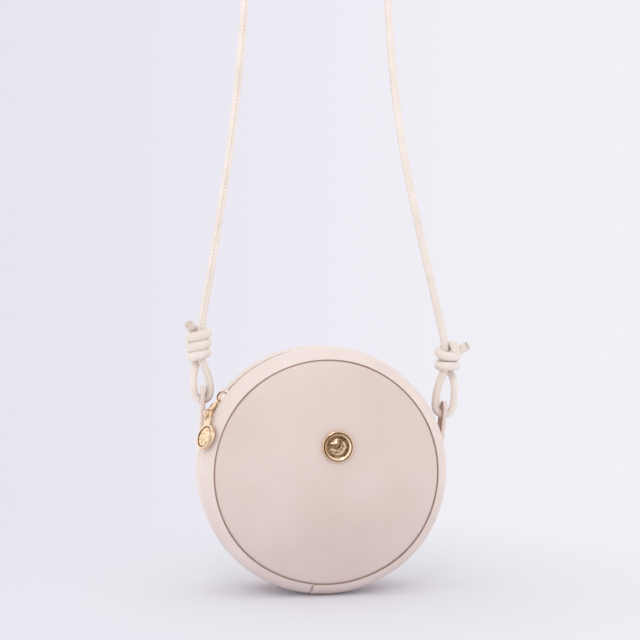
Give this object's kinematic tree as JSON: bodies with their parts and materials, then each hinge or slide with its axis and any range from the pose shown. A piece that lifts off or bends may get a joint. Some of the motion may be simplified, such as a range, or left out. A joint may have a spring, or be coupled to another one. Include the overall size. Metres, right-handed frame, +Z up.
{
  "type": "circle bag",
  "caption": "Round zip bag in cream leather with a domed front, padded gusset, gold zip pull and ornament, hung from side tabs on a knotted rolled-leather cord strap.",
  "frame": {"origin": "underside of the cord at the top of the strap, where a hand, shoulder or hook carries the bag", "axes": "+Z up along the hanging strap, the front panel faces -Y, +X to the right of the front"},
  "size_m": [0.211, 0.0824, 0.5756],
  "materials": {
    "leather_rim": "smooth cream leather with a low sheen",
    "leather_panel": "smooth nude leather with a fine grain",
    "leather_cord": "smooth rolled leather",
    "foam": "foam padding",
    "board": "bonded leather board",
    "lining": "woven cotton twill",
    "zip_tape": "woven tape",
    "pale_gold": "polished pale gold plate",
    "washer_steel": "pressed steel"
  },
  "bodies": {
    "strap": {"strap_cord": "leather_cord", "knot_left": "leather_cord", "knot_right": "leather_cord"},
    "bag": {"front_panel": "leather_panel", "front_foam": "foam", "front_board": "board", "front_lining": "lining", "back_panel": "leather_panel", "back_foam": "foam", "back_board": "board", "back_lining": "lining", "gusset_front": "leather_rim", "gusset_back": "leather_rim", "gusset_foam_front": "foam", "gusset_foam_back": "foam", "gusset_board_front": "board", "gusset_board_back": "board", "gusset_strip": "leather_rim", "strip_lining": "lining", "zip_tape_front": "zip_tape", "zip_tape_back": "zip_tape", "zip_teeth_front": "pale_gold", "zip_teeth_back": "pale_gold", "zip_stops": "pale_gold", "ornament_cup": "pale_gold", "ornament_inlay": "pale_gold", "ornament_washer": "washer_steel", "tab_left": "leather_rim", "tab_right": "leather_rim"},
    "slider": {"zip_slider": "pale_gold"},
    "pull_link": {"zip_pull_link": "pale_gold"},
    "medallion": {"zip_pull_medallion": "pale_gold"}
  },
  "joints": [
    {"name": "bag_swing", "type": "hinge", "parent": "strap", "child": "bag", "pos_m": [0.00315, 0, -0.43498], "axis": [0.9976, 0, -0.0698], "range_deg": [-30, 45]},
    {"name": "zip_travel", "type": "hinge", "parent": "bag", "child": "slider", "pos_m": [0, 0, -0.48], "axis": [0, 1, 0], "range_deg": [0, 106], "deforming": ["zip_tape_front", "zip_tape_back", "zip_teeth_front", "zip_teeth_back"]},
    {"name": "pull_lift", "type": "hinge", "parent": "slider", "child": "pull_link", "pos_m": [-0.07385, 0, -0.42791], "axis": [0, 1, 0], "range_deg": [0, 40]},
    {"name": "medal_swing", "type": "hinge", "parent": "pull_link", "child": "medallion", "pos_m": [-0.08374, -0.02072, -0.43793], "axis": [-0.5358, 0.7778, -0.3285], "range_deg": [0, 40]}
  ]
}
